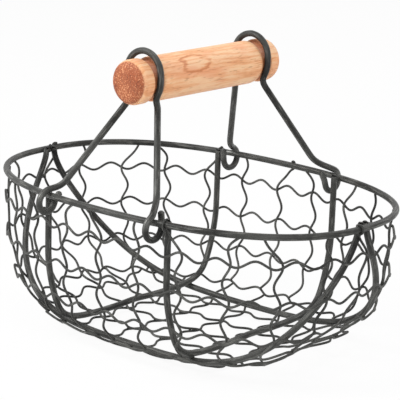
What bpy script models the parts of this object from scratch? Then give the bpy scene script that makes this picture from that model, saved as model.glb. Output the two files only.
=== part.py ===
"""Wire onion basket with a wooden grip, in metres, standing on z = 0 and centred on x = y = 0.

X runs along the basket, Y across it. A closed oval rim carries two cross hoops and two long
hoops, which are welded inside it. Thin waved wires, the netting, lie outside the hoops. Two
wire bails hook over the rim and hold a turned grip in two grooves.
"""

import bpy
import math
from mathutils import Vector

MM = 0.001

# Wires and clearances
FRAME_WIRE = 4.4 * MM
NETTING_WIRE = 1.7 * MM
GAP = 0.3 * MM
FRAME_RADIUS = FRAME_WIRE / 2
NETTING_RADIUS = NETTING_WIRE / 2

# The basket's body, on the wires' centre lines
RIM_HALF_LENGTH = 146.0 * MM
RIM_HALF_WIDTH = 96.5 * MM
BASKET_DEPTH = 100.5 * MM
OVAL_EXPONENT = 2.4
FLAT_END_SHARE = 0.12
FLAT_SIDE_SHARE = 0.25
END_WALL_EXPONENT = 2.76
SIDE_WALL_EXPONENT = 6.0

# Hoops
CROSS_HOOP_X = 53.5 * MM
LONG_HOOP_HALF_WIDTH = 62.0 * MM
LONG_HOOP_END_EXPONENT = 4.1
LONG_HOOP_SIDE_EXPONENT = 2.05
HOOP_STUB = 2.0 * MM
CROSS_HOOP_LOW_SHARE = 0.15
CROSS_HOOP_HIGH_SHARE = 0.60

# Netting
UPRIGHTS = 24
FIRST_ROW = 18.5 * MM
LOWEST_ROW_SHARE = 0.965
ROWS = 4
BOTTOM_PITCH_X = 31.0 * MM
BOTTOM_PITCH_Y = 27.0 * MM
LONG_WIRES_EACH_SIDE = 2
CROSS_WIRES_EACH_SIDE = 3
WAVE = 2.7 * MM
WAVE_PITCH = 24.0 * MM
WAVE_LAG_SHARE = 0.30
WAVE_STEPS = 6
TOP_LEAN = 10.5 * MM
TOP_LEAN_SHARES = (-1, 1, -1, 0)

# Grip
GRIP_RADIUS = 15.0 * MM
GRIP_HALF_LENGTH = 73.0 * MM
GRIP_ABOVE_RIM = 80.0 * MM
GROOVE_DEPTH = 2.5 * MM
GROOVE_PLAY = 1.4 * MM
GROOVE_SLOPE = 1.4 * MM
GRIP_DOME_SHARES = ((0.0, 0.0), (0.55, 0.08), (0.80, 0.24), (0.93, 0.52), (1.0, 1.0))
GRIP_DOME = 6.0 * MM
GRIP_STEPS = 28

# Bails
BAIL_FOOT_X = 46.8 * MM
LOOP_Y = 55.5 * MM
LOOP_HEADROOM = 4.6 * MM
LOOP_OPEN_ANGLE = math.radians(35.5)
NECK_RADIUS = 5.0 * MM
SHOULDER_Z = 10.3 * MM
SHOULDER_IN = 10.6 * MM
SHOULDER_ALONG = 7.8 * MM
EYE_RADIUS = 7.8 * MM
EYE_OUT = 0.5 * MM
TAIL_ENDS = {
    "bail_front": ((-9.8 * MM, 0.5 * MM), (-6.2 * MM, 6.6 * MM)),
    "bail_back": ((-8.2 * MM, 4.3 * MM), (-12.6 * MM, 4.6 * MM)),
}

# Faceting
RIM_STEPS = 72
HOOP_STEP = 7.0 * MM
LEG_STEP = 14.0 * MM
FRAME_SIDES = 1
NETTING_SIDES = 0
SURVEY_STEPS = 240

# Levels: the wires that the basket stands on have their flats on z = 0
FLAT_TO_CENTRE = NETTING_RADIUS * math.cos(math.pi / 4)
INNER_LAYER = FRAME_RADIUS + GAP + NETTING_RADIUS
OUTER_LAYER = INNER_LAYER + NETTING_WIRE + GAP
FLOOR_Z = OUTER_LAYER + FLAT_TO_CENTRE
RIM_Z = FLOOR_Z + BASKET_DEPTH
WELD_STEP = FRAME_WIRE + GAP
HOOP_HALF_LENGTH = RIM_HALF_LENGTH - WELD_STEP
HOOP_HALF_WIDTH = RIM_HALF_WIDTH - WELD_STEP
LOOP_RADIUS = GRIP_RADIUS - GROOVE_DEPTH + GAP + FRAME_RADIUS
LOWEST_ROW = BASKET_DEPTH * LOWEST_ROW_SHARE
ROW_PITCH = (LOWEST_ROW - FIRST_ROW) / (ROWS - 1)


def clear_scene():
    """Empties the scene of its start-up objects."""
    for old in list(bpy.data.objects):
        bpy.data.objects.remove(old, do_unlink=True)


def make_material(name, colour, roughness, metallic):
    """Returns a Principled material with the given finish."""
    material = bpy.data.materials.new(name)
    material.use_nodes = True
    shader = material.node_tree.nodes["Principled BSDF"]
    shader.inputs["Base Color"].default_value = (*colour, 1)
    shader.inputs["Roughness"].default_value = roughness
    shader.inputs["Metallic"].default_value = metallic
    return material


def make_wire(name, points, radius, sides, material, origin=(0, 0, 0), closed=False, upright=False):
    """Makes a tube along points, which are in the scene's frame, with its origin at origin."""
    curve = bpy.data.curves.new(name, "CURVE")
    curve.dimensions = "3D"
    curve.bevel_depth = radius
    curve.bevel_resolution = sides
    curve.use_fill_caps = True
    curve.twist_mode = "MINIMUM" if upright else "Z_UP"
    spline = curve.splines.new("POLY")
    spline.points.add(len(points) - 1)
    for knot, point in zip(spline.points, points):
        knot.co = (*(Vector(point) - Vector(origin)), 1)
        knot.tilt = math.pi / 4 if sides == 0 else 0
    spline.use_cyclic_u = closed
    wire = bpy.data.objects.new(name, curve)
    wire.location = origin
    curve.materials.append(material)
    PARTS.objects.link(wire)
    return wire


def even_points(points, step, closed=False):
    """Returns points about step apart along a polyline, with both its ends kept."""
    points = [Vector(point) for point in points]
    if closed:
        points.append(points[0])
    runs = [0.0]
    for first, second in zip(points, points[1:]):
        runs.append(runs[-1] + (second - first).length)
    count = max(2, round(runs[-1] / step))
    wanted = [runs[-1] * index / count for index in range(count + 1)]
    found, at = [], 0
    for run in wanted:
        while at < len(runs) - 2 and runs[at + 1] < run:
            at += 1
        share = (run - runs[at]) / max(runs[at + 1] - runs[at], GAP * GAP)
        found.append(points[at].lerp(points[at + 1], min(share, 1)))
    return found[:-1] if closed else found


def oval(turn, half_length, half_width):
    """Returns the oval's point in the direction turn, measured on the unit shape."""
    across, along = abs(math.sin(turn)), abs(math.cos(turn))
    size = (across**OVAL_EXPONENT + along**OVAL_EXPONENT) ** (-1 / OVAL_EXPONENT)
    return half_length * size * math.cos(turn), half_width * size * math.sin(turn)


def wall_shape(turn):
    """Returns the flat bottom's share and the wall's exponent in the direction turn."""
    side = math.sin(turn) ** 2
    flat = FLAT_END_SHARE * (1 - side) + FLAT_SIDE_SHARE * side
    return flat, END_WALL_EXPONENT * (1 - side) + SIDE_WALL_EXPONENT * side


def shell_z(x, y):
    """Returns the height of the hoops' shell above the plan point x, y."""
    along, across = abs(x) / HOOP_HALF_LENGTH, abs(y) / HOOP_HALF_WIDTH
    size = (along**OVAL_EXPONENT + across**OVAL_EXPONENT) ** (1 / OVAL_EXPONENT)
    flat, exponent = wall_shape(math.atan2(across, along))
    rise = min(max((size - flat) / (1 - flat), 0), 1)
    return FLOOR_Z + BASKET_DEPTH * (1 - (1 - rise**exponent) ** (1 / exponent))


def shell_meridian(turn):
    """Returns the shell's line from the rim down to the middle, in the direction turn."""
    x, y = oval(turn, HOOP_HALF_LENGTH, HOOP_HALF_WIDTH)
    flat, exponent = wall_shape(turn)
    line = []
    for index in range(SURVEY_STEPS + 1):
        angle = math.pi / 2 * (1 - index / SURVEY_STEPS)
        size = flat + (1 - flat) * max(math.sin(angle), 0) ** (2 / exponent)
        rise = 1 - max(math.cos(angle), 0) ** (2 / exponent)
        line.append(Vector((x * size, y * size, FLOOR_Z + BASKET_DEPTH * rise)))
    line.append(Vector((0, 0, FLOOR_Z)))
    return line


class Shell:
    """The hoops' shell as a grid of meridians, read by direction and by depth from the rim."""

    def __init__(self):
        self.turns = [2 * math.pi * index / SURVEY_STEPS for index in range(SURVEY_STEPS)]
        self.lines = []
        for turn in self.turns:
            line = shell_meridian(turn)
            runs = [0.0]
            for first, second in zip(line, line[1:]):
                runs.append(runs[-1] + (second - first).length)
            self.lines.append((line, runs))
        self.rims = [0.0]
        tops = [line[0] for line, _ in self.lines]
        for first, second in zip(tops, tops[1:] + tops[:1]):
            self.rims.append(self.rims[-1] + (second - first).length)

    def turn_at(self, share):
        """Returns the direction at a share of the way round the rim."""
        run = (share % 1) * self.rims[-1]
        at = max(index for index, value in enumerate(self.rims[:-1]) if value <= run)
        part = (run - self.rims[at]) / (self.rims[at + 1] - self.rims[at])
        return (at + part) / SURVEY_STEPS

    def on_line(self, index, depth):
        """Returns the point of one meridian at a depth along it."""
        line, runs = self.lines[index % SURVEY_STEPS]
        low, high = 0, len(runs) - 1
        while high - low > 1:
            middle = (low + high) // 2
            low, high = (middle, high) if runs[middle] <= depth else (low, middle)
        return line[low].lerp(line[high], (depth - runs[low]) / (runs[high] - runs[low]))

    def point(self, share, depth):
        """Returns the shell's point at a share of the rim's length and a depth below it."""
        place = self.turn_at(share) * SURVEY_STEPS
        index = math.floor(place)
        return self.on_line(index, depth).lerp(self.on_line(index + 1, depth), place - index)

    def offset_point(self, share, depth, out):
        """Returns the point that lies out from the shell at share and depth."""
        along = self.point(share + 1 / SURVEY_STEPS, depth) - self.point(share - 1 / SURVEY_STEPS, depth)
        down = self.point(share, depth + WAVE / 2) - self.point(share, max(depth - WAVE / 2, 0))
        return self.point(share, depth) + down.cross(along).normalized() * out


def floor_offset(x, y, out):
    """Returns the point that lies out below the shell's bottom at x, y."""
    reach = WAVE / 2
    slope_x = (shell_z(x + reach, y) - shell_z(x - reach, y)) / (2 * reach)
    slope_y = (shell_z(x, y + reach) - shell_z(x, y - reach)) / (2 * reach)
    return Vector((x, y, shell_z(x, y))) + Vector((slope_x, slope_y, -1)).normalized() * out


def make_rim(material):
    """Makes the oval rim, which the hoops stand inside."""
    line = []
    for index in range(SURVEY_STEPS):
        turn = 2 * math.pi * index / SURVEY_STEPS
        line.append((*oval(turn, RIM_HALF_LENGTH, RIM_HALF_WIDTH), RIM_Z))
    step = 2 * math.pi * RIM_HALF_LENGTH / RIM_STEPS
    make_wire("rim", even_points(line, step, True), FRAME_RADIUS, FRAME_SIDES, material, closed=True)


def smooth_share(value, low, high):
    """Returns 0 below low, 1 above high and a smooth climb between them."""
    share = min(max((value - low) / (high - low), 0), 1)
    return share * share * (3 - 2 * share)


def make_cross_hoop(name, x, material):
    """Makes one U-shaped hoop across the basket, which lies on the long hoops at the bottom."""
    unit = 1 - (abs(x) / HOOP_HALF_LENGTH) ** OVAL_EXPONENT
    reach = HOOP_HALF_WIDTH * unit ** (1 / OVAL_EXPONENT)
    line = []
    for index in range(2 * SURVEY_STEPS + 1):
        y = reach * math.sin(math.pi / 2 * (index / SURVEY_STEPS - 1))
        line.append(Vector((x, y, shell_z(x, y))))
    line = even_points(line, HOOP_STEP / 4)
    raised = []
    for index, point in enumerate(line):
        before, after = line[max(index - 1, 0)], line[min(index + 1, len(line) - 1)]
        inward = Vector((1, 0, 0)).cross(after - before).normalized()
        height = (point.z - FLOOR_Z) / BASKET_DEPTH
        lift = WELD_STEP * (1 - smooth_share(height, CROSS_HOOP_LOW_SHARE, CROSS_HOOP_HIGH_SHARE))
        raised.append(point + inward * lift)
    top = Vector((0, 0, FRAME_RADIUS + HOOP_STUB))
    raised = [raised[0] + top, *raised, raised[-1] + top]
    make_wire(name, even_points(raised, HOOP_STEP), FRAME_RADIUS, FRAME_SIDES, material)


def make_long_hoop(name, side, material):
    """Makes one hoop along the basket, on the side -1 (near) or 1 (far)."""
    seam = FRAME_RADIUS + GAP / 2
    line = []
    for index in range(2 * SURVEY_STEPS + 1):
        along = math.sin(math.pi / 2 * (index / SURVEY_STEPS - 1))
        spread = max(1 - abs(along) ** LONG_HOOP_END_EXPONENT, 0) ** (1 / LONG_HOOP_SIDE_EXPONENT)
        y = seam + (LONG_HOOP_HALF_WIDTH - seam) * spread
        end = HOOP_HALF_LENGTH * (1 - (seam / HOOP_HALF_WIDTH) ** OVAL_EXPONENT) ** (1 / OVAL_EXPONENT)
        line.append(Vector((along * end, side * y, shell_z(along * end, y))))
    top = Vector((0, 0, FRAME_RADIUS + HOOP_STUB))
    line = [line[0] + top, *line, line[-1] + top]
    make_wire(name, even_points(line, HOOP_STEP), FRAME_RADIUS, FRAME_SIDES, material)


def wave(turns):
    """Returns the waved wire's sideways shift after a number of cells."""
    return WAVE * math.sin(2 * math.pi * turns)


def make_netting_rings(shell, material):
    """Makes the waved wires that run round the walls."""
    for row in range(ROWS):
        depth = FIRST_ROW + row * ROW_PITCH
        girth = [shell.point(index / SURVEY_STEPS, depth) for index in range(SURVEY_STEPS)]
        length = sum((second - first).length for first, second in zip(girth, girth[1:] + girth[:1]))
        waves = round(length / WAVE_PITCH)
        points = []
        for index in range(waves * WAVE_STEPS):
            turns = index / WAVE_STEPS
            points.append(shell.offset_point(turns / waves, depth + wave(turns), OUTER_LAYER))
        make_wire(f"netting_ring_{row + 1}", points, NETTING_RADIUS, NETTING_SIDES, material, closed=True)


def make_netting_uprights(shell, material):
    """Makes the waved wires that run from the rim down to the lowest ring."""
    top = FRAME_RADIUS + GAP
    bottom = LOWEST_ROW - GAP
    steps = ROWS * WAVE_STEPS
    for number in range(UPRIGHTS):
        points = []
        for index in range(steps + 1):
            depth = top + (bottom - top) * index / steps
            sway = -wave((depth - FIRST_ROW) / ROW_PITCH - WAVE_LAG_SHARE)
            above = max(1 - depth / FIRST_ROW, 0)
            sway += TOP_LEAN * TOP_LEAN_SHARES[number % len(TOP_LEAN_SHARES)] * above * above
            points.append(shell.offset_point(number / UPRIGHTS + sway / shell.rims[-1], depth, INNER_LAYER))
        name = f"netting_upright_{number + 1:02d}"
        make_wire(name, points, NETTING_RADIUS, NETTING_SIDES, material, upright=True)


def lowest_ring_outline(shell):
    """Returns the shell's points at the lowest ring's depth, which the bottom's wires end at."""
    return [shell.point(index / SURVEY_STEPS, LOWEST_ROW) for index in range(SURVEY_STEPS)]


def reach_inside(outline, fixed, along_x):
    """Returns how far a straight bottom wire runs before it meets the outline."""
    best = 0
    for first, second in zip(outline, outline[1:] + outline[:1]):
        start, end = (first.y, second.y) if along_x else (first.x, second.x)
        if (start - fixed) * (end - fixed) <= 0 and start != end:
            share = (fixed - start) / (end - start)
            far = first.lerp(second, share)
            best = max(best, far.x if along_x else far.y)
    return best


def make_netting_bottom(shell, material):
    """Makes the waved grid of the bottom: long wires next to the hoops, cross wires below them."""
    outline = lowest_ring_outline(shell)
    for number in range(-LONG_WIRES_EACH_SIDE, LONG_WIRES_EACH_SIDE + 1):
        y = number * BOTTOM_PITCH_Y
        reach = reach_inside(outline, y, True) - GAP
        steps = round(2 * reach / WAVE_PITCH * WAVE_STEPS)
        points = []
        for index in range(steps + 1):
            x = reach * (2 * index / steps - 1)
            points.append(floor_offset(x, y + wave(x / WAVE_PITCH), INNER_LAYER))
        name = f"netting_long_wire_{number + LONG_WIRES_EACH_SIDE + 1}"
        make_wire(name, points, NETTING_RADIUS, NETTING_SIDES, material)
    for number in range(-CROSS_WIRES_EACH_SIDE, CROSS_WIRES_EACH_SIDE + 1):
        x = number * BOTTOM_PITCH_X
        reach = reach_inside(outline, x, False) - WAVE - NETTING_WIRE - GAP
        steps = round(2 * reach / WAVE_PITCH * WAVE_STEPS)
        points = []
        for index in range(steps + 1):
            y = reach * (2 * index / steps - 1)
            points.append(floor_offset(x + wave(y / WAVE_PITCH), y, OUTER_LAYER))
        name = f"netting_cross_wire_{number + CROSS_WIRES_EACH_SIDE + 1}"
        make_wire(name, points, NETTING_RADIUS, NETTING_SIDES, material)


def arc(centre, radius, start, end, steps):
    """Returns points of an arc in a plane, without its first point."""
    angles = [start + (end - start) * index / steps for index in range(1, steps + 1)]
    return [(centre[0] + radius * math.cos(a), centre[1] + radius * math.sin(a)) for a in angles]


def foot_y():
    """Returns how far from the middle the bails hook over the rim."""
    unit = 1 - (BAIL_FOOT_X / RIM_HALF_LENGTH) ** OVAL_EXPONENT
    return RIM_HALF_WIDTH * unit ** (1 / OVAL_EXPONENT)


def half_bail(tail_end):
    """Returns one half of a bail, from the loop's top to the tail, as x, outwards and up from the rim.

    The leg runs straight from its shoulder to the rim, lies on it and then turns round under it.
    """
    inset = LOOP_Y - foot_y()
    crown_z = GRIP_ABOVE_RIM + LOOP_HEADROOM
    loop = [(0, crown_z + LOOP_RADIUS)]
    loop += arc((0, crown_z), LOOP_RADIUS, math.pi / 2, 0, 7)
    loop += arc((0, GRIP_ABOVE_RIM), LOOP_RADIUS, 0, -LOOP_OPEN_ANGLE, 4)
    span = LOOP_RADIUS + NECK_RADIUS
    neck = (span * math.cos(LOOP_OPEN_ANGLE), GRIP_ABOVE_RIM - span * math.sin(LOOP_OPEN_ANGLE))
    shoulder_x = BAIL_FOOT_X - SHOULDER_ALONG
    fall = math.atan2(neck[1] - NECK_RADIUS - SHOULDER_Z, shoulder_x - neck[0] + NECK_RADIUS)
    turned = math.pi / 2 - LOOP_OPEN_ANGLE + math.pi / 2 - fall
    start = math.pi - LOOP_OPEN_ANGLE
    loop += arc(neck, NECK_RADIUS, start, start + turned, 4)
    points = [(x, inset, z) for x, z in loop]
    points.append((shoulder_x, -SHOULDER_IN, SHOULDER_Z))
    from_rim = math.hypot(SHOULDER_IN, SHOULDER_Z)
    seat = math.atan2(SHOULDER_Z, -SHOULDER_IN) - math.acos(WELD_STEP / from_rim)
    eye = [(WELD_STEP * math.cos(seat), WELD_STEP * math.sin(seat))]
    middle = (EYE_OUT, (WELD_STEP - EYE_RADIUS - EYE_OUT * math.cos(seat)) / math.sin(seat))
    eye.append((middle[0] + EYE_RADIUS * math.cos(seat), middle[1] + EYE_RADIUS * math.sin(seat)))
    eye += arc(middle, EYE_RADIUS, seat, -math.pi, 12)
    eye.append(tail_end)
    return points, [(BAIL_FOOT_X, out, z) for out, z in eye]


def rounded_half_bail(tail_end):
    """Returns the half bail with its long leg divided and its shoulder rounded."""
    loop, eye = half_bail(tail_end)
    neck, shoulder = Vector(loop[-2]), Vector(loop[-1])
    leg = shoulder - neck
    rounding = NECK_RADIUS / leg.length
    first = [Vector(point) for point in loop[:-1]]
    count = round(leg.length / LEG_STEP)
    for index in range(1, count):
        first.append(neck + leg * (1 - rounding) * index / (count - 1))
    after = Vector(eye[0])
    first.append((first[-1] + shoulder * 2 + shoulder.lerp(after, 0.5)) / 4)
    first.append(shoulder.lerp(after, 0.5))
    return first + [Vector(point) for point in eye]


def make_bail(name, side, material):
    """Makes one bail on the side -1 or 1, with its origin on the line that it turns about."""
    hinge = Vector((0, side * foot_y(), RIM_Z))
    left_half, right_half = [rounded_half_bail(tail_end) for tail_end in TAIL_ENDS[name]]
    right = [hinge + Vector((point.x, side * point.y, point.z)) for point in right_half]
    left = [hinge + Vector((-point.x, side * point.y, point.z)) for point in left_half[:0:-1]]
    make_wire(name, left + right, FRAME_RADIUS, FRAME_SIDES, material, origin=hinge, upright=True)


def grip_profile():
    """Returns the grip's half outline as radius and distance along its axis from the middle."""
    floor = FRAME_RADIUS + GROOVE_PLAY
    mouth = floor + GROOVE_SLOPE
    groove_radius = GRIP_RADIUS - GROOVE_DEPTH
    dome = [(GRIP_RADIUS * out, GRIP_HALF_LENGTH - GRIP_DOME * back) for out, back in GRIP_DOME_SHARES]
    groove = [
        (GRIP_RADIUS, LOOP_Y + mouth),
        (groove_radius, LOOP_Y + floor),
        (groove_radius, LOOP_Y - floor),
        (GRIP_RADIUS, LOOP_Y - mouth),
    ]
    upper = dome + groove
    return upper + [(radius, -along) for radius, along in reversed(upper)]


def make_grip(material):
    """Makes the turned grip, with its origin in the near loop."""
    profile = grip_profile()
    mesh = bpy.data.meshes.new("grip")
    points = [(radius, 0, along + LOOP_Y) for radius, along in profile]
    mesh.from_pydata(points, [(index, index + 1) for index in range(len(points) - 1)], [])
    grip = bpy.data.objects.new("grip", mesh)
    grip.location = (0, -LOOP_Y, RIM_Z + GRIP_ABOVE_RIM)
    grip.rotation_euler = (-math.pi / 2, 0, 0)
    PARTS.objects.link(grip)
    mesh.materials.append(material)
    screw = grip.modifiers.new("turning", "SCREW")
    screw.axis = "Z"
    screw.angle = 2 * math.pi
    screw.steps = GRIP_STEPS
    screw.render_steps = GRIP_STEPS
    screw.use_merge_vertices = True
    screw.merge_threshold = GAP / 4
    screw.use_smooth_shade = True
    return grip


def main():
    """Builds every piece of the basket."""
    steel = make_material("coated steel", (0.060, 0.068, 0.062), 0.45, 0.3)
    netting = make_material("coated netting wire", (0.050, 0.056, 0.052), 0.5, 0.3)
    wood = make_material("beech", (0.72, 0.40, 0.20), 0.55, 0)
    shell = Shell()
    make_rim(steel)
    make_cross_hoop("cross_hoop_left", -CROSS_HOOP_X, steel)
    make_cross_hoop("cross_hoop_right", CROSS_HOOP_X, steel)
    make_long_hoop("long_hoop_front", -1, steel)
    make_long_hoop("long_hoop_back", 1, steel)
    make_netting_uprights(shell, netting)
    make_netting_rings(shell, netting)
    make_netting_bottom(shell, netting)
    make_bail("bail_front", -1, steel)
    make_bail("bail_back", 1, steel)
    make_grip(wood)


clear_scene()
PARTS = bpy.data.collections.new("onion basket")
bpy.context.scene.collection.children.link(PARTS)
main()
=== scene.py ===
"""Dressed scene of an oval wire onion basket with two bails and a turned beech grip.

The basket's shape follows the same sizes and formulas as the solid model, with finer points. X runs
along the basket, Y across it and Z up, in metres, and the basket stands on z = 0.
"""

import logging
import math
from dataclasses import dataclass, field
from enum import Enum
from itertools import combinations
from typing import Any, Iterable, Mapping, Sequence

import bpy
import numpy as np
from mathutils import Matrix, Vector


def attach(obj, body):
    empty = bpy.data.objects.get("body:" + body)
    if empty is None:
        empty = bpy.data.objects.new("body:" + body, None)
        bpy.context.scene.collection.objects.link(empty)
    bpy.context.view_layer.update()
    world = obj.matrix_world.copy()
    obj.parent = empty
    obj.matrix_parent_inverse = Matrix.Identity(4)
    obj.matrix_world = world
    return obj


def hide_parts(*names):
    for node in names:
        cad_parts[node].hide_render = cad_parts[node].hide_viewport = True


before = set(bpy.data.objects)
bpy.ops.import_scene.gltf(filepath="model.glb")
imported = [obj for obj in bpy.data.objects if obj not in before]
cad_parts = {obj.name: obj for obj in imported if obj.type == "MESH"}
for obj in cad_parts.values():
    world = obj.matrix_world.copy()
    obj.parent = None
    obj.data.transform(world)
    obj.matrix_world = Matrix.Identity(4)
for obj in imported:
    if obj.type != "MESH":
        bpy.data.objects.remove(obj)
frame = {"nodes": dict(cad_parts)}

MM = 0.001
LOG = logging.getLogger("onion basket")
Point = Sequence[float]
Triple = tuple[float, float, float]
Colour = Triple
Socket = bpy.types.NodeSocket
Bead = tuple[np.ndarray, np.ndarray, Point]


class Slot(str, Enum):
    """The record's material slots."""

    FRAME = "coated steel"
    NETTING = "coated netting wire"
    WOOD = "beech"


class Body(str, Enum):
    """The bodies that pieces ride on."""

    BASKET = "basket"
    BAIL_FRONT = "bail_front"
    BAIL_BACK = "bail_back"
    GRIP = "grip"


class Side(Enum):
    """The two long sides, as the sign of Y."""

    FRONT = -1
    BACK = 1


@dataclass(frozen=True)
class BasketSizes:
    """The basket's driving sizes, on the wires' centre lines, in metres."""

    frame_radius: float = 2.2 * MM
    netting_radius: float = 0.85 * MM
    gap: float = 0.3 * MM
    rim_half_length: float = 146.0 * MM
    rim_half_width: float = 96.5 * MM
    depth: float = 100.5 * MM
    hook_x: float = 46.8 * MM
    oval_exponent: float = 2.4
    flat_end_share: float = 0.12
    flat_side_share: float = 0.25
    end_wall_exponent: float = 2.76
    side_wall_exponent: float = 6.0

    @property
    def weld_step(self) -> float:
        """The distance between two frame wires that lie on each other."""
        return 2 * self.frame_radius + self.gap

    @property
    def inner_layer(self) -> float:
        """How far the uprights lie outside the hoops."""
        return self.frame_radius + self.gap + self.netting_radius

    @property
    def outer_layer(self) -> float:
        """How far the rings lie outside the hoops."""
        return self.inner_layer + 2 * self.netting_radius + self.gap

    @property
    def floor_z(self) -> float:
        """The height of the hoops' shell at the middle of the bottom."""
        return self.outer_layer + self.netting_radius * math.cos(math.pi / 4)

    @property
    def rim_z(self) -> float:
        """The rim wire's height."""
        return self.floor_z + self.depth

    @property
    def hoop_half_length(self) -> float:
        """The shell's half length at the rim."""
        return self.rim_half_length - self.weld_step

    @property
    def hoop_half_width(self) -> float:
        """The shell's half width at the rim."""
        return self.rim_half_width - self.weld_step


SIZES = BasketSizes()


def oval(turn: float, half_length: float, half_width: float) -> tuple[float, float]:
    """Gives the oval's point in one direction.

    Args:
        turn: The direction in radians, measured on the unit shape.
        half_length: Half the oval's length.
        half_width: Half the oval's width.

    Returns:
        The point's x and y.
    """
    power = SIZES.oval_exponent
    size = (abs(math.sin(turn)) ** power + abs(math.cos(turn)) ** power) ** (-1 / power)
    return half_length * size * math.cos(turn), half_width * size * math.sin(turn)


def oval_reach(share: float) -> float:
    """Gives the oval's reach one way as a share, where it has gone a share of the other way."""
    return (1 - abs(share) ** SIZES.oval_exponent) ** (1 / SIZES.oval_exponent)


def rim_line(count: int) -> np.ndarray:
    """Gives the rim's centre line.

    Args:
        count: The number of points.

    Returns:
        The points of the closed line.
    """
    turns = np.linspace(0, 2 * math.pi, count, endpoint=False)
    half_sizes = SIZES.rim_half_length, SIZES.rim_half_width
    return np.array([(*oval(turn, *half_sizes), SIZES.rim_z) for turn in turns])


def smooth_share(value: float, low: float, high: float) -> float:
    """Gives 0 below low, 1 above high and a smooth climb between them."""
    share = min(max((value - low) / (high - low), 0), 1)
    return share * share * (3 - 2 * share)


def runs_along(line: np.ndarray) -> np.ndarray:
    """Gives how far along a polyline each of its points lies."""
    return np.concatenate([[0], np.cumsum(np.linalg.norm(np.diff(line, axis=0), axis=1))])


def even_points(points: Iterable[Point], step: float, closed: bool = False) -> np.ndarray:
    """Spaces points evenly along a polyline.

    Args:
        points: The polyline's points.
        step: About how far apart the new points are.
        closed: Whether the last point joins the first.

    Returns:
        The new points, with both ends kept.
    """
    line = np.array([tuple(point) for point in points], float)
    if closed:
        line = np.vstack([line, line[:1]])
    runs = runs_along(line)
    count = max(2, round(runs[-1] / step))
    wanted = np.linspace(0, runs[-1], count + 1)
    found = np.column_stack([np.interp(wanted, runs, line[:, axis]) for axis in range(3)])
    return found[:-1] if closed else found


def rounded(line: np.ndarray, passes: int, closed: bool = False) -> np.ndarray:
    """Softens a polyline's corners.

    Args:
        line: The polyline's points.
        passes: How often each point is averaged with its neighbours.
        closed: Whether the last point joins the first. An open line keeps its ends.

    Returns:
        The softened points.
    """
    for _ in range(passes):
        before, after = np.roll(line, 1, axis=0), np.roll(line, -1, axis=0)
        softer = (before + 2 * line + after) / 4
        if not closed:
            softer[0], softer[-1] = line[0], line[-1]
        line = softer
    return line


def crossing(first: np.ndarray, second: np.ndarray, within: float, size: Point) -> list[Bead]:
    """Finds the weld beads where two routes pass close to each other.

    Args:
        first: One route.
        second: The other route.
        within: The largest distance between their centre lines that counts.
        size: A bead's three half sizes.

    Returns:
        For each bead the middle between the routes, the direction across them and its size.
    """
    apart = np.linalg.norm(first[:, None, :] - second[None, :, :], axis=2)
    nearest = apart.min(axis=1)
    found = []
    index = 0
    while index < len(nearest):
        if nearest[index] > within:
            index += 1
            continue
        end = index
        while end + 1 < len(nearest) and nearest[end + 1] <= within:
            end += 1
        best = index + int(np.argmin(nearest[index:end + 1]))
        other = second[int(np.argmin(apart[best]))]
        away = other - first[best]
        found.append(((first[best] + other) / 2, away / max(np.linalg.norm(away), 1e-9), size))
        index = end + 1
    return found


def placed(name: str, data: bpy.types.ID) -> bpy.types.Object:
    """Makes an object and puts it in the scene.

    Args:
        name: The object's name.
        data: Its mesh, lamp or camera.

    Returns:
        The object, at the origin.
    """
    item = bpy.data.objects.new(name, data)
    bpy.context.scene.collection.objects.link(item)
    return item


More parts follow.
